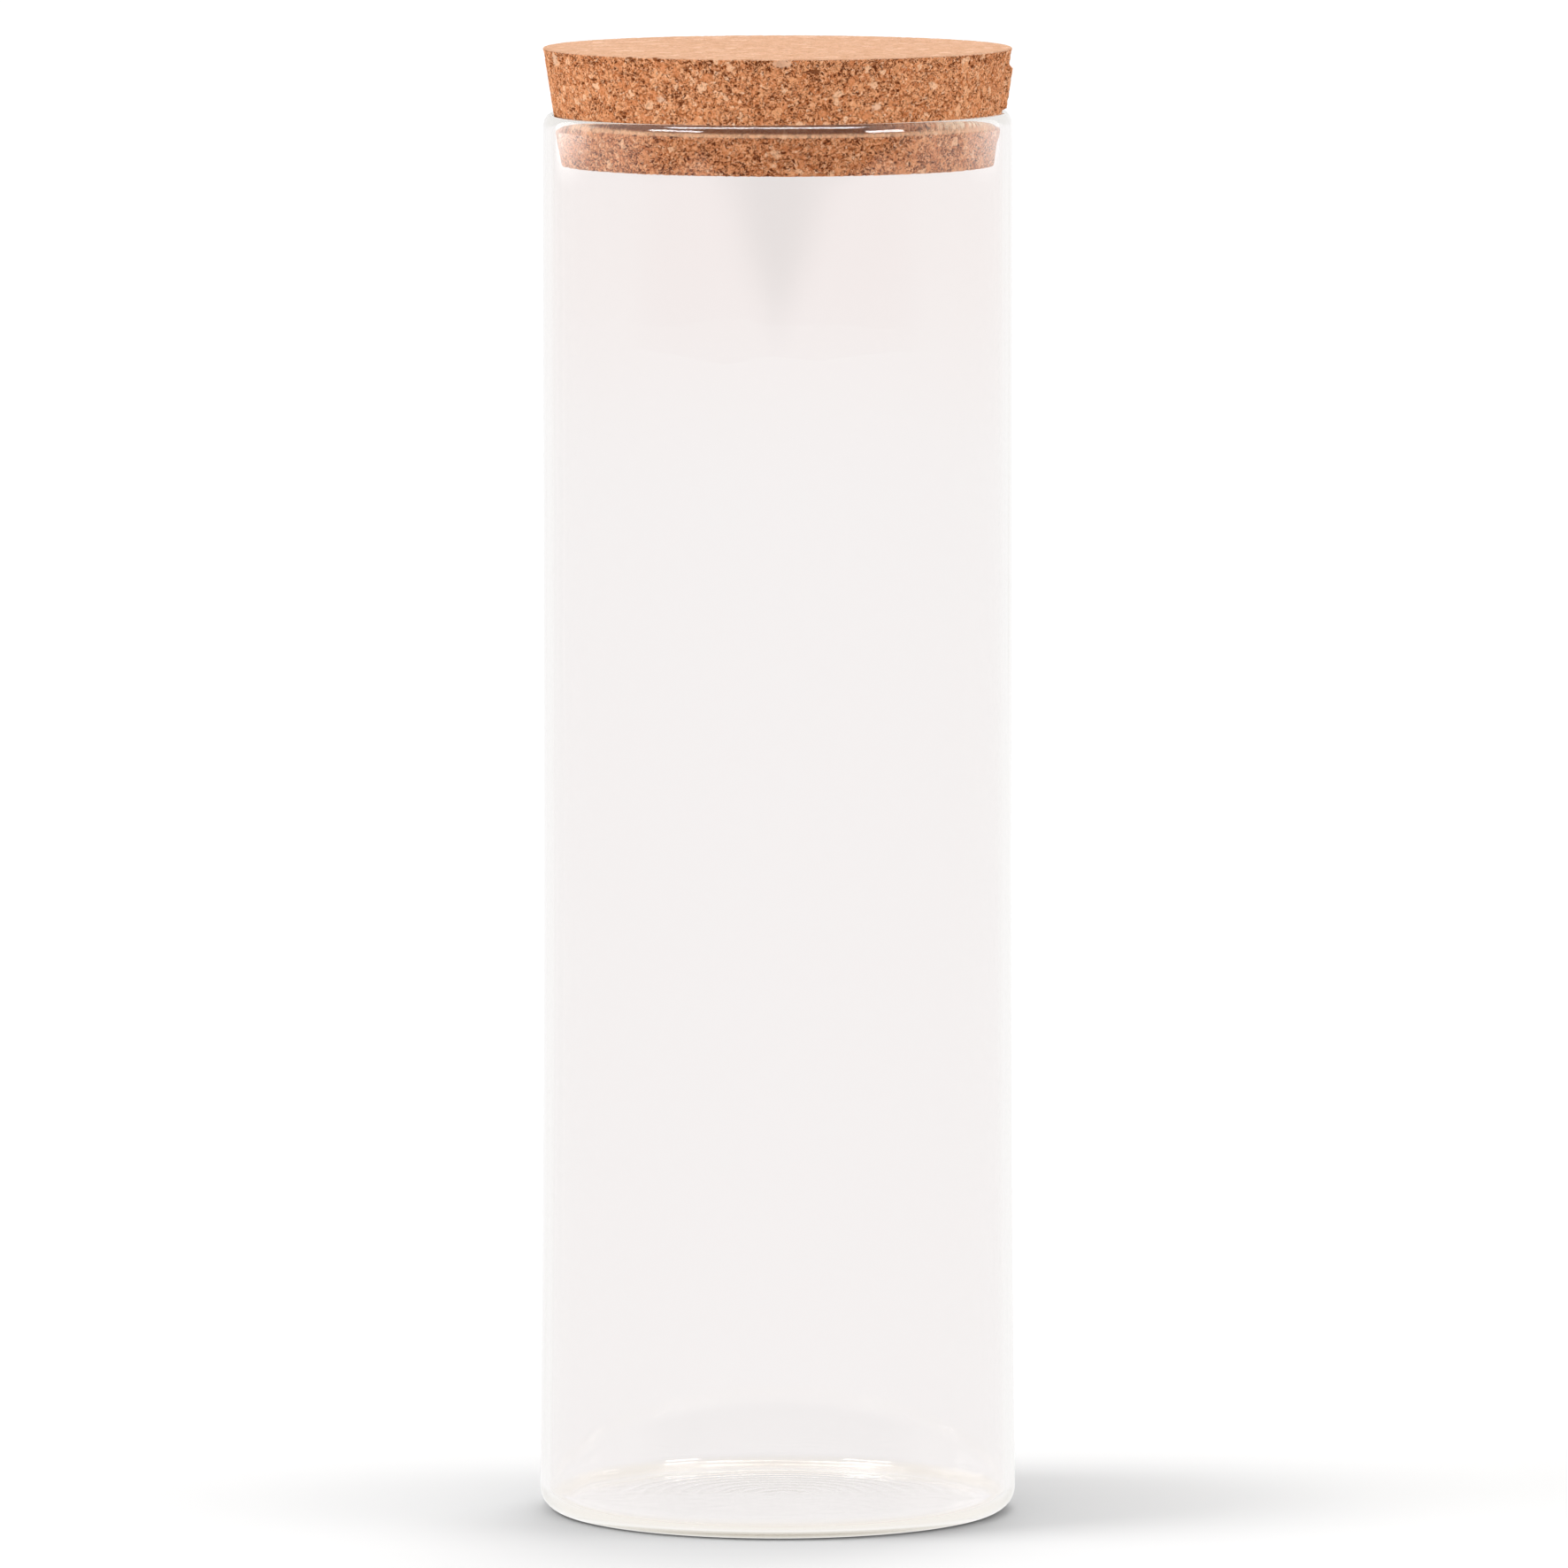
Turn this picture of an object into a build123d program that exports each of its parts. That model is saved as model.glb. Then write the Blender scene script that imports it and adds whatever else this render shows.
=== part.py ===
from build123d import *
import os
from math import cos, radians, sin, tan

# A tall glass storage jar closed by a tapered cork lid.
# Millimetres, +Z up. The origin is the centre of the foot, on the surface that the jar stands on.

# Glass cylinder
jar_diameter = 100.0  # outside, over the straight upper part
glass_height = 300.0  # from the surface up to the top of the lip
wall = 2.0
lip_outer_share = 0.68  # part of the wall that the outer rounding of the melted lip takes

# Closed end of the glass
foot_spread = 1.0  # how far the heated end stands out past the straight part, all round
spread_start_share = 0.5  # height at which the wall starts to spread, as a share of the glass height
heel_radius = 5.0  # outside rounding between wall and foot
foot_land = 2.0  # width of the flat ring that touches the table
push_up = 1.2  # rise of the underside at its middle
floor_thickness = 3.0
floor_corner_radius = 3.5  # inside rounding between wall and floor
corner_steps = 3  # short slopes that make up that rounding

# Tooling rings that the turning tool leaves in the soft floor
ring_count = 6
ring_depth = 0.2  # from a crest down to the groove beside it
ring_field_share = 0.8  # radius of the ringed area, as a share of the flat floor

# Cork lid
lid_thickness = 25.0
plug_depth = 11.0  # how far the cork goes down inside the mouth
taper_angle = 8.8  # degrees, of the cork's side against the upright
lid_edge_bevel = 0.6  # worn edge round both flat faces
seat_clearance = 0.2  # between the cork and the lip that carries it

# Places that follow from the sizes above
jar_radius = jar_diameter / 2
foot_radius = jar_radius + foot_spread
spread_start = glass_height * spread_start_share
land_outer_radius = foot_radius - heel_radius
land_inner_radius = land_outer_radius - foot_land
floor_radius = foot_radius - wall - floor_corner_radius
corner_height = floor_thickness + floor_corner_radius
lip_outer_radius = wall * lip_outer_share
lip_inner_radius = wall - lip_outer_radius
lip_top_radius = jar_radius - lip_outer_radius
lip_centre_height = glass_height - lip_inner_radius
lid_bottom = glass_height - plug_depth
lid_top = lid_bottom + lid_thickness


# Height of the floor's middle surface at a distance from the axis: it domes up over the push-up
def floor_height(radius):
    return floor_thickness + push_up * (1 - (radius / floor_radius) ** 2)


# Radius of the cork's side at a height, leaning on the lip's inner rounding with the seat clearance
def cork_radius(height):
    reach = (lip_inner_radius + seat_clearance) / cos(radians(taper_angle))
    return lip_top_radius - reach + (height - lip_centre_height) * tan(radians(taper_angle))


# Underside, heel and outer wall, drawn from the axis up to the lip
def outer_line():
    TangentArc((0, push_up), (land_inner_radius, 0), tangent=(1, 0))
    Line((land_inner_radius, 0), (land_outer_radius, 0))
    TangentArc((land_outer_radius, 0), (foot_radius, heel_radius), tangent=(1, 0))
    TangentArc((jar_radius, spread_start), (foot_radius, heel_radius), tangent=(0, -1))
    Line((jar_radius, spread_start), (jar_radius, glass_height - lip_outer_radius))


# Lip melted round: a wide rounding outside and a tighter one inside, where the cork seats
def lip_line():
    outer_end = (jar_radius, glass_height - lip_outer_radius)
    inner_end = (jar_radius - wall, lip_centre_height)
    TangentArc(outer_end, (lip_top_radius, glass_height), tangent=(0, 1))
    TangentArc((lip_top_radius, glass_height), inner_end, tangent=(-1, 0))


# Inner wall, down to the rounding at the floor
def inner_line():
    Line((jar_radius - wall, lip_centre_height), (jar_radius - wall, spread_start))
    TangentArc((jar_radius - wall, spread_start), (foot_radius - wall, corner_height), tangent=(0, -1))


# Rounding between the inner wall and the floor, from the wall down
def corner_points():
    points = []
    for i in range(corner_steps + 1):
        turn = radians(90 * i / corner_steps)
        radius = floor_radius + floor_corner_radius * cos(turn)
        points.append((radius, corner_height - floor_corner_radius * sin(turn)))
    return points


# Tooling rings from the edge of their field to the axis, sinking and rising by turns
def ring_points():
    field_radius = floor_radius * ring_field_share
    half_ring = field_radius / (2 * ring_count)
    points = []
    for i in range(2 * ring_count + 1):
        radius = field_radius - i * half_ring
        sunk = ring_depth if i % 2 else 0
        points.append((radius, floor_height(radius) - sunk))
    return points


# Floor from the inner wall to the axis, and down the axis to the underside
def floor_line():
    points = corner_points() + ring_points()
    Polyline(*points, (0, push_up))


def glass_body():
    with BuildPart() as glass:
        with BuildSketch(Plane.XZ):
            with BuildLine():
                outer_line()
                lip_line()
                inner_line()
                floor_line()
            make_face()
        revolve(axis=Axis.Z)
    return glass.part


def cork_lid():
    with BuildPart() as lid:
        with BuildSketch(Plane.XZ):
            with BuildLine():
                Polyline(
                    (0, lid_bottom),
                    (cork_radius(lid_bottom), lid_bottom),
                    (cork_radius(lid_top), lid_top),
                    (0, lid_top),
                    close=True,
                )
            make_face()
        revolve(axis=Axis.Z)
        chamfer(lid.edges().filter_by(GeomType.CIRCLE), length=lid_edge_bevel)
    return lid.part


os.makedirs("parts", exist_ok=True)
export_step(glass_body(), "parts/glass_body.step")
export_step(cork_lid(), "parts/cork_lid.step")
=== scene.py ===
import math

import bpy
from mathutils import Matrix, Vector, noise


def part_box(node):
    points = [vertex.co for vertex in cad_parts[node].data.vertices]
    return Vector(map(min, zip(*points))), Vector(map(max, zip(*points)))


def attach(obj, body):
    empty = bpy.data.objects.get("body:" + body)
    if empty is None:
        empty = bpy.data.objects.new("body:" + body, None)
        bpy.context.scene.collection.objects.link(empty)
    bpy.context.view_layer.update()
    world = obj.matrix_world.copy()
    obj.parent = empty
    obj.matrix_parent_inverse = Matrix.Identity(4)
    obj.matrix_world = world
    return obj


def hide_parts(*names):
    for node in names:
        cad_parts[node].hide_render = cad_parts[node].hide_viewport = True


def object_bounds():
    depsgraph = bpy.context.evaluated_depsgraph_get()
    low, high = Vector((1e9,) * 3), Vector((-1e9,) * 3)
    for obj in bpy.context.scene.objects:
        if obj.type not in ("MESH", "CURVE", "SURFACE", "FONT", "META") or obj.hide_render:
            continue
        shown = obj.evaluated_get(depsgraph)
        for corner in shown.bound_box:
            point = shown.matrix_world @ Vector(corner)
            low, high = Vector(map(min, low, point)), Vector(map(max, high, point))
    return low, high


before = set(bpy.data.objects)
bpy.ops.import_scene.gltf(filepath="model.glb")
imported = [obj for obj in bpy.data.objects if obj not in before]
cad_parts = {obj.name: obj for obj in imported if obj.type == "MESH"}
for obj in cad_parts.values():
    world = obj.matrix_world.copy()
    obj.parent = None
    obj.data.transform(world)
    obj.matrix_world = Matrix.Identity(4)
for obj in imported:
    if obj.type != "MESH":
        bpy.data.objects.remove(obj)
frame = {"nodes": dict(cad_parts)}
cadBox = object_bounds()
print("frame loaded:", ", ".join(frame["nodes"]))


# Node wiring

class Wire:
    # one socket of a node tree; plain arithmetic on it adds Math nodes

    def __init__(self, tree, socket=None):
        self.tree = tree
        self.socket = socket

    # the one way to add a node: settings come first, then the values or links of its sockets
    def node(self, kind, settings=None, sockets=None, out=0):
        made = self.tree.nodes.new(kind)
        for name, value in (settings or {}).items():
            if name == "stops":
                ramp = made.color_ramp
                while len(ramp.elements) < len(value):
                    ramp.elements.new(1.0)
                for element, (place, colour) in zip(ramp.elements, value):
                    element.position = place
                    element.color = (*colour, 1.0)
            else:
                setattr(made, name, value)
        for name, value in (sockets or {}).items():
            if isinstance(value, Wire):
                self.tree.links.new(value.socket, made.inputs[name])
            elif made.inputs[name].type == "RGBA":
                made.inputs[name].default_value = (*value, 1.0)    # colours are written without alpha
            else:
                made.inputs[name].default_value = value
        return Wire(self.tree, made.outputs[out] if made.outputs else None)

    def other(self, output):
        # another output of the same node
        return Wire(self.tree, self.socket.node.outputs[output])

    def math(self, operation, first, second):
        return self.node("ShaderNodeMath", {"operation": operation}, {0: first, 1: second})

    def __add__(self, other):
        return self.math("ADD", self, other)

    def __radd__(self, other):
        return self.math("ADD", other, self)

    def __sub__(self, other):
        return self.math("SUBTRACT", self, other)

    def __rsub__(self, other):
        return self.math("SUBTRACT", other, self)

    def __mul__(self, other):
        return self.math("MULTIPLY", self, other)

    def __rmul__(self, other):
        return self.math("MULTIPLY", other, self)

    def __truediv__(self, other):
        return self.math("DIVIDE", self, other)

    def __rtruediv__(self, other):
        return self.math("DIVIDE", other, self)

    def __abs__(self):
        return self.math("ABSOLUTE", self, 0.0)


def band(value, low, high):
    # 0 below low, 1 above high, smooth between; low may be the larger one
    return value.node("ShaderNodeMapRange", {"interpolation_type": "SMOOTHSTEP"},
                      {"Value": value, "From Min": low, "From Max": high})


def mixColour(factor, first, second):
    return factor.node("ShaderNodeMix", {"data_type": "RGBA"}, {0: factor, 6: first, 7: second}, out=2)


def noiseAt(place, scale, detail=2.0, roughness=0.5, out=0):
    sockets = {"Vector": place, "Scale": scale, "Detail": detail, "Roughness": roughness}
    return place.node("ShaderNodeTexNoise", {}, sockets, out=out)


def cellsAt(place, scale, feature="F1", out="Distance"):
    return place.node("ShaderNodeTexVoronoi", {"feature": feature},
                      {"Vector": place, "Scale": scale}, out=out)


def vector(operation, first, second):
    return first.node("ShaderNodeVectorMath", {"operation": operation}, {0: first, 1: second})


def scaled(place, amount):
    return place.node("ShaderNodeVectorMath", {"operation": "SCALE"}, {0: place, "Scale": amount})


def lengthOf(place):
    return vector("LENGTH", place, (0.0, 0.0, 0.0)).other("Value")


def axisOf(place, axis):
    return place.node("ShaderNodeSeparateXYZ", {}, {0: place}, out="XYZ".index(axis))


def newMaterial(name):
    material = bpy.data.materials.new(name)
    material.use_nodes = True
    tree = material.node_tree
    tree.nodes.clear()
    return material, Wire(tree)


def finishMaterial(start, surface, volume=None):
    sockets = {"Surface": surface}
    if volume:
        sockets["Volume"] = volume
    start.node("ShaderNodeOutputMaterial", {}, sockets)


# Mesh helpers

def clamp(value):
    return max(0.0, min(1.0, value))


def meshObject(name, points, faces):
    mesh = bpy.data.meshes.new(name)
    mesh.from_pydata(points, [], faces)
    mesh.update()
    for polygon in mesh.polygons:
        polygon.use_smooth = True
    piece = bpy.data.objects.new(name, mesh)
    bpy.context.scene.collection.objects.link(piece)
    return piece


def arcPoints(centre, radius, startDegrees, endDegrees, steps):
    points = []
    for i in range(steps + 1):
        turn = math.radians(startDegrees + (endDegrees - startDegrees) * i / steps)
        points.append((centre[0] + radius * math.cos(turn), centre[1] + radius * math.sin(turn)))
    return points


# Glass jar

glassLow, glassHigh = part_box("glass_body")

glass = {
    "footRadius": (glassHigh[0] - glassLow[0]) / 2,
    "height": glassHigh[2],
    "tubeRadius": 0.050,
    "wall": 0.002,
    "lipWide": 0.0015,        # the melted lip rounds the outer edge over this width and height
    "lipTall": 0.0028,
    "heelRadius": 0.005,
    "footLand": 0.002,
    "pushUp": 0.0012,
    "floorThickness": 0.0022,
    "cornerRadius": 0.0032,
    "spreadStart": 0.5,       # share of the height where the wall starts to spread
    "segments": 288,
    "steps": {"under": 20, "heel": 10, "wall": 46, "lip": 14, "bead": 8, "corner": 8, "floor": 84},
    "hold": 0.0004,           # first step along the wall beside a bend, so that its shading stays straight
    # tooling rings in the floor
    "ringPitch": 0.0042,
    "ringField": 0.037,
    "ringFieldFade": 0.004,
    "ringHeight": 0.00008,
    "ringSharpness": 2.0,     # above 1 the ridges are narrower than the dips between them
    "ringSector": 76.0,       # degrees to each side of the back in which they are strong
    "ringSectorFade": 40.0,
    "ringStrength": 0.85,
    "ringPatches": 0.6,       # how much that strength varies from patch to patch
    "ringPatchScale": 28.0,
    "ringWaver": 0.25,        # how much a ring leaves its circle, in radians of the ridge
    "ringWaverScale": 45.0,
    "ringCentre": (0.001, -0.00075),
    "swirlCentre": (0.004, -0.003),
    "swirlRadius": 0.012,     # inside this the rings close up into a swirl
    # unevenness of the drawn tube
    "wave": 0.00004,
    "waveScale": (3.5, 9.0),      # round the tube and along it
    "streakShare": 0.35,
    "streakScale": (14.0, 4.0),
    "waveShift": 5.0,         # gives the inner face waves of its own
    "waveStart": 0.002,       # above the floor
    "calmTall": 0.008,        # melting has evened out the top of the tube over this height
    "calmFade": 0.004,
    "calmShare": 0.75,
    "lipTilt": 0.0003,        # the melted lip stands this much higher on the right
    "tiltStart": 0.9,         # share of the height above which the tilt grows
    # finish
    "index": 1.47,
    "striaeScale": (90.0, 90.0, 4.0),
    "striaeStrength": 0.06,
    "striaeDepth": 0.0004,
    "tint": (0.968, 0.952, 0.951),
    "corkReflectionTint": (0.968, 0.938, 0.932),    # painted reflection: near the mouth the glass takes some of the cork's colour as if lit by it
    "corkReflectionBand": (0.72, 0.92),             # shares of the height
    "floorTint": (0.988, 0.980, 0.976),    # the floor of the jar is clearer
    "heelTint": (0.945, 0.905, 0.845),     # and its heel is creamy
    "tintEdge": 0.001,        # the two meet this far inside the start of the heel
    "floorFade": 0.002,
    "heelFade": 0.003,
    "clearing": (0.985, 0.985, 0.98),      # light left at each surface that it passes near the cork
    "shading": (0.30, 0.30, 0.298),        # and near the foot, so that the jar has a soft shadow
    "shadingBand": (0.03, 0.45),           # shares of the height
    "bodyColour": (0.74, 0.71, 0.65),      # what long ways through the glass take on
    "bodyDensity": 24.0,
    "followed": 9.0,          # light guided further than this many turns inside the glass goes straight on
}


def wallHeights(start, end):
    g = glass
    hold = math.copysign(g["hold"], end - start)
    first, last = start + hold, end - hold
    steps = g["steps"]["wall"]
    return [first + (last - first) * i / steps for i in range(steps + 1)]


def glassProfile():
    # from the middle of the underside, up the outside, over the lip and down to the middle of the floor
    g = glass
    steps = g["steps"]
    landOuter = g["footRadius"] - g["heelRadius"]
    landInner = landOuter - g["footLand"]
    lipInner = g["wall"] - g["lipWide"]
    top = g["height"]
    start = top * g["spreadStart"]
    floorRadius = g["footRadius"] - g["wall"] - g["cornerRadius"]
    cornerHeight = g["floorThickness"] + g["cornerRadius"]
    spread = g["footRadius"] - g["tubeRadius"]

    def tube(height, low):
        down = max(0.0, (start - height) / (start - low))
        return g["tubeRadius"] + spread * down * down

    points = []
    for i in range(steps["under"] + 1):
        radius = landInner * i / steps["under"]
        points.append((radius, g["pushUp"] * (1 - (radius / landInner) ** 2)))
    points += arcPoints((landOuter, g["heelRadius"]), g["heelRadius"], -90, 0, steps["heel"])
    lipStart = top - g["lipTall"]
    for height in wallHeights(g["heelRadius"], lipStart):
        points.append((tube(height, g["heelRadius"]), height))
    crown = g["tubeRadius"] - g["lipWide"]
    for i in range(steps["lip"] + 1):
        turn = math.radians(90 * i / steps["lip"])
        out, up = g["lipWide"] * math.cos(turn), g["lipTall"] * math.sin(turn)
        points.append((crown + out, lipStart + up))
    points += arcPoints((crown, top - lipInner), lipInner, 90, 180, steps["bead"])[1:]
    for height in wallHeights(top - lipInner, cornerHeight):
        points.append((tube(height, cornerHeight) - g["wall"], height))
    points += arcPoints((floorRadius, cornerHeight), g["cornerRadius"], 0, -90, steps["corner"])
    for i in range(1, steps["floor"] + 1):
        radius = floorRadius * (1 - i / steps["floor"])
        dome = g["pushUp"] * (1 - (radius / floorRadius) ** 2)
        points.append((radius, g["floorThickness"] + dome))
    return points


def ringLift(x, y):
    # tooling rings: uneven in pitch and strength, with their centre beside the axis
    g = glass
    radius = math.hypot(x - g["ringCentre"][0], y - g["ringCentre"][1])
    edge = clamp((g["ringField"] - radius) / g["ringFieldFade"])
    # the third number only tells the two noises apart
    waver = noise.noise(Vector((x * g["ringWaverScale"], y * g["ringWaverScale"], 3.1)))
    patch = noise.noise(Vector((x * g["ringPatchScale"], y * g["ringPatchScale"], 9.4)))
    strength = g["ringStrength"] + g["ringPatches"] * patch
    turnFromBack = abs(math.degrees(math.atan2(x, y)))
    strength *= clamp((g["ringSector"] - turnFromBack) / g["ringSectorFade"] + 0.5)
    swirl = math.atan2(y - g["swirlCentre"][1], x - g["swirlCentre"][0])
    turn = radius / g["ringPitch"] * 2 * math.pi + waver * g["ringWaver"]
    turn += swirl * (radius < g["swirlRadius"])
    ridge = (0.5 + 0.5 * math.sin(turn)) ** g["ringSharpness"]
    return g["ringHeight"] * edge * max(0.0, strength) * ridge


def tubeWave(c, n, height, inner):
    # how far the wall stands out, where c and n are the cosine and the sine of the place round it
    g = glass
    shift = g["waveShift"] if inner else 0.0
    around, along = g["waveScale"]
    wave = noise.noise(Vector((c * around + shift, n * around, height * along)))
    around, along = g["streakScale"]
    streak = noise.noise(Vector((c * around + shift, n * around, height * along)))
    calm = clamp((height - g["height"] + g["calmTall"]) / g["calmFade"])
    return g["wave"] * (wave + g["streakShare"] * streak) * (1 - g["calmShare"] * calm)


def makeGlass():
    g = glass
    profile = glassProfile()
    points, faces, rings = [], [], []
    segments = g["segments"]
    floorTop = g["floorThickness"] + g["pushUp"] * 1.01    # just above the middle of the domed floor
    for k, (radius, height) in enumerate(profile):
        if radius < 1e-7:
            rings.append([len(points)])    # the middle is a single point
            points.append((0.0, 0.0, height))
            continue
        inner = k > len(profile) // 2
        ring = []
        for s in range(segments):
            turn = 2 * math.pi * s / segments
            c, n = math.cos(turn), math.sin(turn)
            r, z = radius, height
            if height > floorTop + g["waveStart"]:
                r += tubeWave(c, n, height, inner)
            tilt = max(0.0, (height / g["height"] - g["tiltStart"]) / (1 - g["tiltStart"]))
            z += g["lipTilt"] * c * tilt * tilt
            if inner and height <= floorTop:
                z += ringLift(r * c, r * n)
            ring.append(len(points))
            points.append((r * c, r * n, z))
        rings.append(ring)
    for lower, upper in zip(rings[:-1], rings[1:]):
        for s in range(segments):
            t = (s + 1) % segments
            if len(lower) == 1:
                faces.append((lower[0], upper[t], upper[s]))
            elif len(upper) == 1:
                faces.append((lower[s], lower[t], upper[0]))
            else:
                faces.append((lower[s], lower[t], upper[t], upper[s]))
    return meshObject("glass_jar", points, faces)


def glassTint(place):
    g = glass
    height = axisOf(place, "Z")
    outward = lengthOf(vector("MULTIPLY", place, (1.0, 1.0, 0.0)))
    heel = g["heelRadius"]
    edge = g["footRadius"] - heel - g["tintEdge"]
    low, high = g["corkReflectionBand"]
    # painted reflection of the cork's colour near the mouth
    tint = mixColour(band(height, g["height"] * low, g["height"] * high), g["tint"], g["corkReflectionTint"])
    floorShare = band(outward, edge, edge - g["floorFade"]) * band(height, heel * 1.6, heel)
    tint = mixColour(floorShare, tint, g["floorTint"])
    heelShare = band(outward, edge, edge + g["heelFade"]) * band(height, heel, heel * 0.5)
    return mixColour(heelShare, tint, g["heelTint"])


def clearGlass():
    g = glass
    material, start = newMaterial("clear drawn glass")
    place = start.node("ShaderNodeTexCoord", out="Object")
    striae = noiseAt(vector("MULTIPLY", place, g["striaeScale"]), 1.0)
    bump = start.node("ShaderNodeBump", {}, {
        "Strength": g["striaeStrength"],
        "Distance": g["striaeDepth"],
        "Height": striae,
    })
    shader = start.node("ShaderNodeBsdfPrincipled", {}, {
        "Base Color": glassTint(place),
        "Roughness": 0.0,
        "IOR": g["index"],
        "Transmission Weight": 1.0,
        "Normal": bump,
    })
    # light on its way to the cork or the floor goes straight through the walls, and dimmer near the foot
    rays = start.node("ShaderNodeLightPath")
    lit = rays.other("Is Shadow Ray") + rays.other("Diffuse Depth")
    deep = band(rays.other("Ray Depth"), g["followed"], g["followed"] + 1)
    low, high = g["shadingBand"]
    upper = band(axisOf(place, "Z"), g["height"] * low, g["height"] * high)
    dim = start.node("ShaderNodeBsdfTransparent", {}, {"Color": g["shading"]})
    clear = start.node("ShaderNodeBsdfTransparent", {}, {"Color": g["clearing"]})
    passing = start.node("ShaderNodeMixShader", {}, {0: band(upper + deep, 0.0, 1.0), 1: dim, 2: clear})
    surface = start.node("ShaderNodeMixShader", {}, {0: band(lit + deep, 0.0, 1.0), 1: shader, 2: passing})
    body = start.node("ShaderNodeVolumeAbsorption", {}, {
        "Color": g["bodyColour"],
        "Density": g["bodyDensity"],
    })
    finishMaterial(start, surface, body)
    return material


glassJar = makeGlass()
glassJar.data.materials.append(clearGlass())
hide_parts("glass_body")
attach(glassJar, "jar")
print("glass jar:", len(glassJar.data.polygons), "faces")


# Cork lid

lidLow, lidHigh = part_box("cork_lid")

cork = {
    "bottom": lidLow[2],
    "top": lidHigh[2],
    "topRadius": (lidHigh[0] - lidLow[0]) / 2,
    "taper": 8.8,             # degrees
    "edge": 0.0004,           # worn edge round both flat faces
    "edgeSteps": 4,
    "edgeReach": 0.6,         # share of that edge by which the cone's top lies further out than the rim
    "grid": 156,              # cells across each flat face; the side has four times as many round it
    "sideSteps": 54,
    # the chip that stands out at the right
    "flakeAngle": -4.0,       # degrees
    "flakeWidth": 9.0,
    "flakeSides": 0.25,       # share of its half width over which its sides rise
    "flakeTop": 0.0038,       # below the top face
    "flakeTall": 0.0095,
    "flakeDepth": 0.0009,
    "flakeEdge": 0.0004,
    # granules
    "granule": 0.0016,        # size of the coarse ones
    "crumb": 0.00060,         # size of the fine ones between them
    "crumbLength": 0.45,      # below 1, so crumbs are longer than wide
    "wholeFrom": 0.85,        # share of the coarse granules that are broken into crumbs
    "ragged": 0.0014,         # how far their outlines wander
    "raggedScale": 900.0,
    "seamScale": 1300.0,      # seams come and go at this scale
    "seamBand": (0.48, 0.60),              # values of that noise between which they come up
    "seamWidth": 0.06,        # share of a granule
    "crumbSeamWidth": 0.15,   # share of a crumb
    "pitScale": 2300.0,
    "pitBand": (0.555, 0.60),
    "pitSpared": 0.60,        # how much the whole granules are spared
    "pitCrowding": 0.22,
    "pitCrowdScale": 260.0,   # pits crowd together at this scale
    "pitTop": 0.0040,         # there are more of them this far below the top
    "pitTopShare": 0.03,
    # relief
    "sanding": 0.8,           # share of it that sanding takes off the top
    "sandedBand": (0.0012, 0.0002),        # below the top: here that begins, and here it is complete
    "toneRelief": 0.00016,
    "seamRelief": 0.00012,
    "pitRelief": 0.00042,
    "rimRelief": 0.0006,      # crumbs are missing here and there below the top edge
    "rimTall": 0.0022,
    "rimScale": 420.0,
    # finish
    "fleckScale": 1500.0,     # flecks inside the granules
    "speckScale": 2300.0,
    "mottleScale": 520.0,
    "grainScale": 3600.0,
    "grainShare": 0.35,
    "grainStrength": 0.55,
    "grainDepth": 0.00025,
    "roughness": 0.80,
    "roughnessSpread": 0.12,
    "index": 1.4,
    "gloss": 0.06,
    "granuleColours": [
        (0.00, (0.52, 0.160, 0.052)),
        (0.25, (0.71, 0.262, 0.105)),
        (0.70, (0.87, 0.400, 0.190)),
        (0.90, (0.93, 0.495, 0.275)),
        (1.00, (0.97, 0.630, 0.420)),
    ],
    "paleGranule": (1.0, 0.64, 0.41),
    "lightSpeck": (1.0, 0.63, 0.42),
    "darkSpeck": (0.34, 0.090, 0.022),
    "seam": (0.24, 0.060, 0.013),
    "pit": (0.14, 0.030, 0.007),
    "dustAndSheen": (0.66, 0.405, 0.264),
    "lightDustAndSheen": (0.775, 0.510, 0.357),
    "dustAndSheenBand": (0.0004, 0.0001),          # below the top: here the dust and painted sheen begin, and here they are complete
    "topChip": 0.0024,        # size of the chips that show in the sanded top
    "lightChip": (1.0, 0.76, 0.58),
    "darkChip": (0.52, 0.27, 0.14),
    # painted shade and painted light round the lip: a dark ring for the dark reflection in the glass lip, a
    # pale line below it and pale streaks at the right
    "lipShadeTop": 0.0002,        # below the height of the lip
    "lipShadeHeight": 0.0022,
    "lipShadeFade": 0.0002,
    "lipShadeStreaks": 1400.0,
    "paintedShadeColour": (0.17, 0.050, 0.014),
    "paintedPaleLine": (0.98, 0.62, 0.38),
    "paintedPaleStreaks": (1.0, 0.76, 0.54),
    # single pits and chips near the front edge: place, half width, half height, colour
    "marks": [
        ((-0.0315, -0.0394, 0.3138), 0.0010, 0.0009, (0.20, 0.055, 0.016)),
        ((-0.0258, -0.0427, 0.3138), 0.0007, 0.0006, (0.26, 0.075, 0.024)),
        ((0.0010, -0.0498, 0.3130), 0.0023, 0.0010, (0.88, 0.520, 0.335)),
        ((0.0081, -0.0488, 0.3112), 0.0011, 0.0008, (0.18, 0.048, 0.014)),
        ((-0.0474, -0.0148, 0.3122), 0.0012, 0.0016, (0.94, 0.600, 0.400)),
        ((-0.0250, -0.0425, 0.3050), 0.0014, 0.0009, (0.93, 0.580, 0.385)),
        ((0.0210, -0.0440, 0.3035), 0.0012, 0.0009, (0.92, 0.560, 0.370)),
    ],
}


def discPoint(u, v):
    # a square grid folded onto a disc, so that all cells stay much the same size
    if u == 0 and v == 0:
        return 0.0, 0.0
    if abs(u) > abs(v):
        return u, math.pi / 4 * v / u
    return v, math.pi / 2 - math.pi / 4 * u / v


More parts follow.
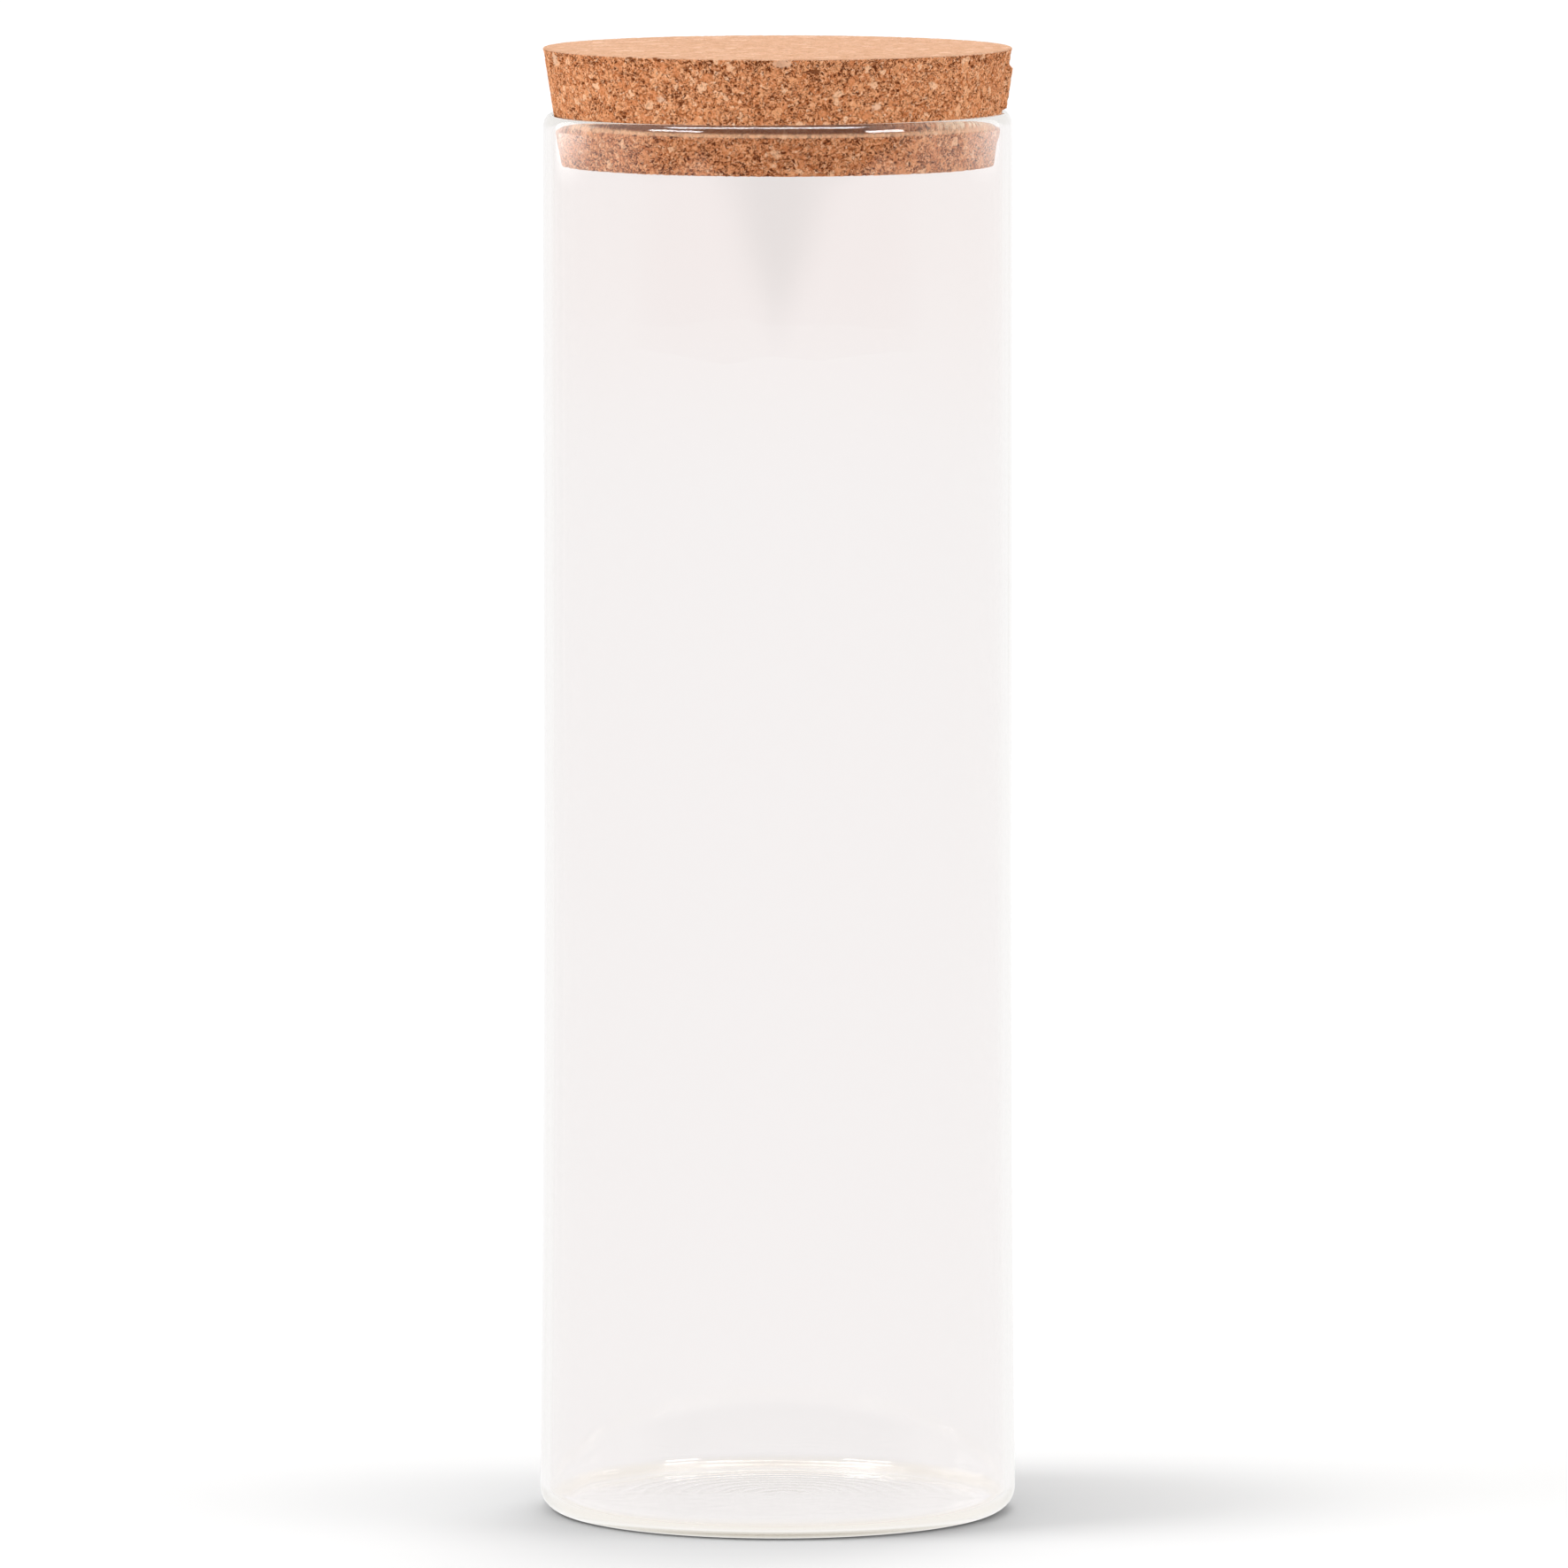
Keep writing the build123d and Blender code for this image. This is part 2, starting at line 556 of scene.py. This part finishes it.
def discGrid(points, faces, radius, height, upward, rim):
    # rim holds the indices of the edge ring that the disc shares with the side
    n = cork["grid"]
    index = {}
    for i in range(n + 1):
        for j in range(n + 1):
            u, v = 2 * i / n - 1, 2 * j / n - 1
            r, turn = discPoint(u, v)
            x, y = radius * r * math.cos(turn), radius * r * math.sin(turn)
            if i in (0, n) or j in (0, n):
                around = round(math.degrees(math.atan2(y, x)) % 360 / 360 * 4 * n) % (4 * n)
                index[i, j] = rim[around]
            else:
                index[i, j] = len(points)
                points.append((x, y, height))
    for i in range(n):
        for j in range(n):
            quad = (index[i, j], index[i + 1, j], index[i + 1, j + 1], index[i, j + 1])
            faces.append(quad if upward else quad[::-1])


def corkBlank():
    c = cork
    slope = math.tan(math.radians(c["taper"]))
    e = c["edge"]
    topRadius = c["topRadius"] + c["edgeReach"] * e * slope
    bottomRadius = topRadius - (c["top"] - c["bottom"]) * slope
    profile = arcPoints((bottomRadius - e, c["bottom"] + e), e, -90, 0, c["edgeSteps"])
    low, high = c["bottom"] + e, c["top"] - e
    for i in range(1, c["sideSteps"]):
        height = low + (high - low) * i / c["sideSteps"]
        profile.append((bottomRadius + (height - c["bottom"]) * slope, height))
    profile += arcPoints((topRadius - e, high), e, 0, 90, c["edgeSteps"])
    around = 4 * c["grid"]
    points, faces, rings = [], [], []
    for radius, height in profile:
        ring = []
        for s in range(around):
            turn = 2 * math.pi * s / around
            degrees = (math.degrees(turn) + 180) % 360 - 180
            across = abs(degrees - c["flakeAngle"]) / (c["flakeWidth"] / 2)
            below = (c["top"] - height) - c["flakeTop"]
            r = radius
            if across < 1 and 0 < below < c["flakeTall"]:
                risen = min(1.0, (1 - across) / c["flakeSides"]) * min(1.0, below / c["flakeEdge"])
                r += c["flakeDepth"] * risen
            ring.append(len(points))
            points.append((r * math.cos(turn), r * math.sin(turn), height))
        rings.append(ring)
    for lower, upper in zip(rings[:-1], rings[1:]):
        for s in range(around):
            t = (s + 1) % around
            faces.append((lower[s], lower[t], upper[t], upper[s]))
    discGrid(points, faces, profile[0][0], c["bottom"], False, rings[0])
    discGrid(points, faces, profile[-1][0], c["top"], True, rings[-1])
    return meshObject("cork_lid_granular", points, faces)


def corkField(place):
    # what the relief and the finish share: granule tone, seams between granules, and pits
    c = cork
    wander = vector("SUBTRACT", noiseAt(place, c["raggedScale"], 3.0, 0.65, out=1), (0.5, 0.5, 0.5))
    bent = vector("ADD", place, scaled(wander, c["ragged"]))
    coarse = cellsAt(bent, 1 / c["granule"], out="Color")
    coarseEdge = cellsAt(bent, 1 / c["granule"], "DISTANCE_TO_EDGE")
    # inside each coarse granule the crumbs lie their own way and are longer than wide
    ownWay = bent.node("ShaderNodeVectorRotate", {"rotation_type": "EULER_XYZ"}, {
        "Vector": bent,
        "Center": (0.0, 0.0, 0.0),
        "Rotation": scaled(coarse, 6.283),    # up to a full turn
    })
    drawn = vector("MULTIPLY", ownWay, (1.0, 1.0, c["crumbLength"]))
    fine = cellsAt(drawn, 1 / c["crumb"], out="Color")
    fineEdge = cellsAt(drawn, 1 / c["crumb"], "DISTANCE_TO_EDGE")
    whole = band(axisOf(coarse, "X"), c["wholeFrom"], c["wholeFrom"] + 0.02)
    # whole granules keep off the darkest tones
    ownTone = axisOf(coarse, "Y")
    wholeTone = 0.25 + band(ownTone, 0.20, 0.40) * (0.20 + 0.45 * ownTone)
    tone = whole * wholeTone + (1 - whole) * axisOf(fine, "X")
    broken = band(noiseAt(place, c["seamScale"]), *c["seamBand"])
    between = band(coarseEdge, c["seamWidth"], 0.0)
    within = (1 - whole) * band(fineEdge, c["crumbSeamWidth"], 0.0)
    seam = band((between + within) * broken, 0.0, 1.0)
    pitNoise = noiseAt(vector("MULTIPLY", ownWay, (1.0, 1.0, 0.5)), c["pitScale"], 2.0, 0.6)
    crowd = noiseAt(place, c["pitCrowdScale"])
    nearTop = band(axisOf(place, "Z"), c["top"] - c["pitTop"], c["top"] - c["pitTop"] / 4)
    crowded = c["pitCrowding"] * (crowd - 0.5) + c["pitTopShare"] * nearTop
    pit = band(pitNoise + crowded, *c["pitBand"]) * (1 - c["pitSpared"] * whole)
    return tone, seam, pit, whole


def addRelief(piece):
    c = cork
    tree = bpy.data.node_groups.new("cork relief", "GeometryNodeTree")
    tree.interface.new_socket("Geometry", in_out="INPUT", socket_type="NodeSocketGeometry")
    tree.interface.new_socket("Geometry", in_out="OUTPUT", socket_type="NodeSocketGeometry")
    start = Wire(tree)
    geometry = start.node("NodeGroupInput")
    place = start.node("GeometryNodeInputPosition")
    normal = start.node("GeometryNodeInputNormal")
    tone, seam, pit, whole = corkField(place)
    height = axisOf(place, "Z")
    # the top is sanded, so its relief is faint
    below, above = c["sandedBand"]
    sanded = band(height, c["top"] - below, c["top"] - above)
    rough = 1 - c["sanding"] * sanded
    lift = (tone - 1.0) * c["toneRelief"] - seam * c["seamRelief"] - pit * c["pitRelief"]
    rim = band(height, c["top"] - c["rimTall"], c["top"] - c["edge"]) * (1 - sanded)
    missing = rim * band(noiseAt(place, c["rimScale"], 3.0), 0.56, 0.68)
    offset = scaled(normal, lift * rough - missing * c["rimRelief"])
    kept = start.node("GeometryNodeStoreNamedAttribute", {"data_type": "FLOAT_VECTOR", "domain": "POINT"}, {
        "Geometry": geometry,
        "Name": "corkPlace",
        "Value": place,
    })
    moved = start.node("GeometryNodeSetPosition", {}, {"Geometry": kept, "Offset": offset})
    start.node("NodeGroupOutput", {}, {0: moved})
    modifier = piece.modifiers.new("relief", "NODES")
    modifier.node_group = tree
    bpy.context.view_layer.update()
    depsgraph = bpy.context.evaluated_depsgraph_get()
    shaped = bpy.data.meshes.new_from_object(piece.evaluated_get(depsgraph))
    piece.modifiers.clear()
    piece.data = shaped
    return piece


def sideColour(place, tone, seam, whole, sanded, speck):
    # granules with flecks inside them, specks on them and dark seams between them
    c = cork
    fleck = noiseAt(place, c["fleckScale"], 3.0, 0.6)
    shade = tone * 0.80 + (fleck - 0.5) * 1.1 + 0.10
    granule = tone.node("ShaderNodeValToRGB", {"stops": c["granuleColours"]}, {0: shade})
    # a few whole granules are pale
    granule = mixColour(band(tone * whole, 0.76, 0.80) * 0.50, granule, c["paleGranule"])
    crumbly = 1 - 0.5 * whole
    speckled = mixColour(band(speck, 0.53, 0.66) * 0.30 * crumbly, granule, c["lightSpeck"])
    darkened = mixColour(band(speck, 0.46, 0.36) * 0.55 * crumbly, speckled, c["darkSpeck"])
    return mixColour(seam * (0.70 - 0.52 * sanded), darkened, c["seam"])


def topColour(place):
    # sanding dust, made paler with painted sheen, with single chips showing through
    c = cork
    mottle = noiseAt(place, c["mottleScale"], 3.0, 0.65)
    dustAndSheen = mixColour(band(mottle, 0.40, 0.60), c["dustAndSheen"], c["lightDustAndSheen"])
    chip = cellsAt(place, 1 / c["topChip"], out="Color")
    chipped = mixColour(band(axisOf(chip, "X"), 0.92, 0.94) * 0.50, dustAndSheen, c["lightChip"])
    return mixColour(band(axisOf(chip, "Y"), 0.95, 0.96) * 0.40, chipped, c["darkChip"])


def addMarks(place, colour, speck):
    for centre, halfWidth, halfHeight, markColour in cork["marks"]:
        away = vector("DIVIDE", vector("SUBTRACT", place, centre), (halfWidth, halfWidth, halfHeight))
        cover = band(lengthOf(away) + (speck - 0.5) * 2.0, 1.0, 0.7)
        colour = mixColour(cover * 0.9, colour, markColour)
    return colour


def paintLipShadeAndLight(place, colour):
    # painted shade: a narrow dark ring on the cork where the lip shows a dark reflection, and painted
    # light: a pale line just below it
    c = cork
    height = axisOf(place, "Z")
    across = axisOf(place, "X")
    tall = c["lipShadeHeight"]
    lipHeight = glass["height"] - c["lipShadeTop"]
    streaks = noiseAt(vector("MULTIPLY", place, (1.0, 1.0, 0.12)), c["lipShadeStreaks"])
    lipShade = band(height, lipHeight - tall, lipHeight - tall * 0.75)
    lipShade = lipShade * band(height, lipHeight, lipHeight - c["lipShadeFade"])
    paintedPaleLine = band(height, lipHeight - tall * 1.25, lipHeight - tall * 1.1) * (1 - lipShade)
    paintedPaleLine = paintedPaleLine * band(height, lipHeight - tall * 0.7, lipHeight - tall * 0.8)
    colour = mixColour(paintedPaleLine * 0.55, colour, c["paintedPaleLine"])
    # the painted shade is darkest in front and to the left, and at the right there are only pale streaks of
    # painted reflection
    paintedShadeMask = lipShade * band(across, 0.038, 0.016) * (0.86 + 0.14 * streaks)
    colour = mixColour(paintedShadeMask, colour, c["paintedShadeColour"])
    paintedPaleStreaks = lipShade * band(across, 0.028, 0.040) * band(streaks, 0.42, 0.52) * 0.9
    return mixColour(paintedPaleStreaks, colour, c["paintedPaleStreaks"])


def corkFinish():
    c = cork
    material, start = newMaterial("agglomerated cork")
    place = start.node("ShaderNodeAttribute", {"attribute_name": "corkPlace"}, out="Vector")
    tone, seam, pit, whole = corkField(place)
    below, above = c["dustAndSheenBand"]
    sanded = band(axisOf(place, "Z"), c["top"] - below, c["top"] - above)
    speck = noiseAt(place, c["speckScale"], 3.0, 0.6)
    colour = sideColour(place, tone, seam, whole, sanded, speck)
    # the top is paler: partly sanding dust, partly painted sheen
    colour = mixColour(sanded * 0.74, colour, topColour(place))
    colour = mixColour(pit * (0.94 - 0.78 * sanded), colour, c["pit"])
    # painted shade and painted light of the glass lip, laid on the cork
    colour = paintLipShadeAndLight(place, addMarks(place, colour, speck))
    grain = noiseAt(place, c["grainScale"], 3.0, 0.6)
    relief = grain * c["grainShare"] - seam * 0.5 * (1 - c["sanding"] * sanded)
    bump = start.node("ShaderNodeBump", {}, {
        "Strength": c["grainStrength"],
        "Distance": c["grainDepth"],
        "Height": relief,
    })
    shader = start.node("ShaderNodeBsdfPrincipled", {}, {
        "Base Color": colour,
        "Roughness": c["roughness"] + c["roughnessSpread"] * speck,
        "IOR": c["index"],
        "Specular IOR Level": c["gloss"],
        "Normal": bump,
    })
    finishMaterial(start, shader)
    return material


corkLid = addRelief(corkBlank())
corkLid.data.materials.append(corkFinish())
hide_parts("cork_lid")
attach(corkLid, "lid")
print("cork lid:", len(corkLid.data.polygons), "faces")


# Stage: floor, light and camera

stage = {
    "floorSize": 60.0,
    "floorColour": (0.90, 0.90, 0.90),
    "floorGlow": 0.05,        # share of the floor that stays white in its shadow
    "white": (1.0, 1.0, 1.0),
    "worldFill": 0.632,       # strength that lights the object; the background itself is 1
    "suns": [                 # turn from the camera (left is minus), elevation, strength
        (-78.0, 45.0, 1.25),
        (80.0, 45.0, 0.46),
        (165.0, 55.0, 0.69),
    ],
    "sunAngle": 30.0,
    # soft panels that only reflections show: turn from the camera, distance, middle height, width,
    # height, radiance, and the share of the half height over which the upper and lower edges fade
    "panels": [
        (123.0, 1.3, 0.563, 0.85, 0.74, 1.6, 0.05),
        (-123.0, 1.3, 0.563, 0.85, 0.74, 2.3, 0.05),
        (56.0, 1.3, 0.85, 0.50, 0.36, 24.0, 0.45),
        (-56.0, 1.3, 1.10, 0.75, 0.30, 24.0, 0.45),
        (-12.0, 0.5, 1.90, 2.40, 0.70, 20.0, 0.45),
    ],
    "sideFade": 0.12,         # share of a panel's half width over which its sides fade
    "panelAim": 0.9,          # share of the jar's height that the panels face
    # dim wall behind the camera, curved round the jar, also only for reflections
    "wallDistance": 3.6,
    "wallTurn": 102.0,        # degrees that it reaches to each side
    "wallCuts": 32,
    "wallHeight": 6.0,
    "wallShoulder": 2.6,      # height of its sides; only the hood in the middle is as high as wallHeight
    "wallFade": 0.6,          # share of either height above which it fades out
    "wallFoot": (-0.02, 0.01),             # heights over which it fades in
    "wallColour": (0.88, 0.80, 0.79),      # up to the heights in wallSplit
    "wallDark": (0.05, 0.045, 0.045),      # and above them
    "wallSplit": (0.072, 0.090),
    "wedge": 0.6,             # half width of the dark wedge in its middle, at the floor
    "wedgeGrowth": 32.0,      # and how fast that grows upward
    "wedgeRise": (-0.02, 0.05),            # heights over which it darkens
    "hoodSides": (0.86, 0.64),             # shares of the distance over which the hood's sides fade
    "wallEnds": (-0.05, -0.65),            # and the wall's own ends
}

camera = {
    "distance": 3.425,
    "height": 0.4908,
    "pitch": 5.579,           # degrees below the horizon
    "aside": 0.00138,         # the jar stands a little left of the middle
    "pixels": 1772,           # width of the photograph
    "focalPixels": 18173,
    "sensor": 36.0,
}


def seenDirectly(start):
    # 1 where the camera, a reflection or the view through the glass asks, 0 where light is gathered
    rays = start.node("ShaderNodeLightPath")
    sight = rays.other("Is Camera Ray") + rays.other("Is Glossy Ray") + rays.other("Is Transmission Ray")
    return band(sight, 0.0, 1.0) * band(rays.other("Diffuse Depth"), 1.0, 0.0)


def makeFloor():
    half = stage["floorSize"] / 2
    corners = [(-half, -half, 0), (half, -half, 0), (half, half, 0), (-half, half, 0)]
    floor = meshObject("floor", corners, [(0, 1, 2, 3)])
    material, start = newMaterial("pale floor")
    plain = start.node("ShaderNodeBsdfDiffuse", {}, {"Color": stage["floorColour"]})
    glow = start.node("ShaderNodeEmission", {}, {"Color": stage["white"], "Strength": 1.0})
    rays = start.node("ShaderNodeLightPath")
    through = rays.other("Is Glossy Ray") + rays.other("Is Transmission Ray")
    share = band(rays.other("Is Camera Ray"), 0.0, 1.0) * stage["floorGlow"] + through
    surface = start.node("ShaderNodeMixShader", {}, {0: share, 1: plain, 2: glow})
    finishMaterial(start, surface)
    floor.data.materials.append(material)


def onlyReflected(piece):
    piece.visible_camera = False
    piece.visible_diffuse = False
    piece.visible_shadow = False
    piece.visible_volume_scatter = False


def glowCard(name, points, faces, glow):
    # glow takes the place on the card and gives its colour, strength and cover
    card = meshObject(name, points, faces)
    material, start = newMaterial(name + " glow")
    place = start.node("ShaderNodeTexCoord", out="Object")
    colour, strength, cover = glow(place)
    # the view straight through the glass doesn't show the card, a reflection inside it does
    rays = start.node("ShaderNodeLightPath")
    mirrored = band(rays.other("Glossy Depth"), 0.0, 1.0) * band(rays.other("Diffuse Depth"), 1.0, 0.0)
    shine = start.node("ShaderNodeEmission", {}, {"Color": colour, "Strength": strength})
    clear = start.node("ShaderNodeBsdfTransparent")
    surface = start.node("ShaderNodeMixShader", {}, {0: cover * mirrored, 1: clear, 2: shine})
    finishMaterial(start, surface)
    card.data.materials.append(material)
    onlyReflected(card)
    return card


def makeWall():
    w = stage
    far, high, shoulder = w["wallDistance"], w["wallHeight"], w["wallShoulder"]
    points, faces = [], []
    for i in range(w["wallCuts"] + 1):
        turn = math.radians(-90 + w["wallTurn"] * (2 * i / w["wallCuts"] - 1))
        points += [(far * math.cos(turn), far * math.sin(turn), z) for z in (0.0, high)]
    for i in range(w["wallCuts"]):
        faces.append((2 * i, 2 * i + 2, 2 * i + 3, 2 * i + 1))

    def glow(place):
        aside = abs(axisOf(place, "X"))
        height = axisOf(place, "Z")
        wedge = band(aside / (w["wedge"] + height * w["wedgeGrowth"]), 1.0, 0.0)
        dark = band(wedge * band(height, *w["wedgeRise"]) + band(height, *w["wallSplit"]), 0.0, 1.0)
        colour = mixColour(dark, w["wallColour"], w["wallDark"])
        outer, inner = w["hoodSides"]
        hood = band(height, high, high * w["wallFade"]) * band(aside, far * outer, far * inner)
        sides = band(height, shoulder, shoulder * w["wallFade"])
        outer, inner = w["wallEnds"]
        ends = band(axisOf(place, "Y"), far * outer, far * inner)
        return colour, 1.0, band(height, *w["wallFoot"]) * band(sides + hood, 0.0, 1.0) * ends

    glowCard("dim_wall", points, faces, glow)


def makePanels():
    aim = Vector((0, 0, cadBox[1][2] * stage["panelAim"]))
    for count, (turn, distance, height, wide, tall, radiance, fade) in enumerate(stage["panels"]):
        a = math.radians(turn)
        x, y = wide / 2, tall / 2
        corners = [(-x, -y, 0), (x, -y, 0), (x, y, 0), (-x, y, 0)]

        def glow(place):
            across = 1 - abs(axisOf(place, "X")) / (wide / 2)
            along = 1 - abs(axisOf(place, "Y")) / (tall / 2)
            cover = band(across, 0.0, stage["sideFade"]) * band(along, 0.0, fade)
            return stage["white"], radiance, cover

        panel = glowCard(f"soft_panel_{count + 1}", corners, [(0, 1, 2, 3)], glow)
        panel.location = (math.sin(a) * distance, -math.cos(a) * distance, height)
        panel.rotation_mode = "QUATERNION"
        panel.rotation_quaternion = (aim - panel.location).to_track_quat("Z", "Y")


def makeWorld():
    world = bpy.data.worlds.new("studio")
    world.use_nodes = True
    world.node_tree.nodes.clear()
    start = Wire(world.node_tree)
    strength = seenDirectly(start) * (1 - stage["worldFill"]) + stage["worldFill"]
    shine = start.node("ShaderNodeBackground", {}, {"Color": stage["white"], "Strength": strength})
    start.node("ShaderNodeOutputWorld", {}, {"Surface": shine})
    bpy.context.scene.world = world


def makeSuns():
    for turn, rise, strength in stage["suns"]:
        data = bpy.data.lights.new("sun", "SUN")
        data.energy = strength
        data.angle = math.radians(stage["sunAngle"])
        sun = bpy.data.objects.new("sun", data)
        a, e = math.radians(turn), math.radians(rise)
        sun.location = (math.sin(a) * math.cos(e), -math.cos(a) * math.cos(e), math.sin(e))
        sun.rotation_mode = "QUATERNION"
        sun.rotation_quaternion = (-sun.location).to_track_quat("-Z", "Y")
        # the glass doesn't mirror the suns
        sun.visible_glossy = False
        sun.visible_transmission = False
        bpy.context.scene.collection.objects.link(sun)


def makeCamera():
    data = bpy.data.cameras.new("camera")
    data.sensor_width = camera["sensor"]
    data.lens = camera["sensor"] * camera["focalPixels"] / camera["pixels"]
    data.clip_start = 0.1
    data.clip_end = 200.0
    eye = bpy.data.objects.new("camera", data)
    eye.location = (camera["aside"], -camera["distance"], camera["height"])
    eye.rotation_euler = (math.radians(90 - camera["pitch"]), 0, 0)
    bpy.context.scene.collection.objects.link(eye)
    bpy.context.scene.camera = eye


makeFloor()
makeWall()
makePanels()
makeWorld()
makeSuns()
makeCamera()
# light bounces many times inside the heel and the lip before it leaves the glass
bpy.context.scene.cycles.max_bounces = 20
bpy.context.scene.cycles.glossy_bounces = 16
bpy.context.scene.cycles.transmission_bounces = 16
bpy.context.scene.cycles.transparent_max_bounces = 24
bpy.context.scene.view_settings.view_transform = "Standard"
print("stage, light and camera set")
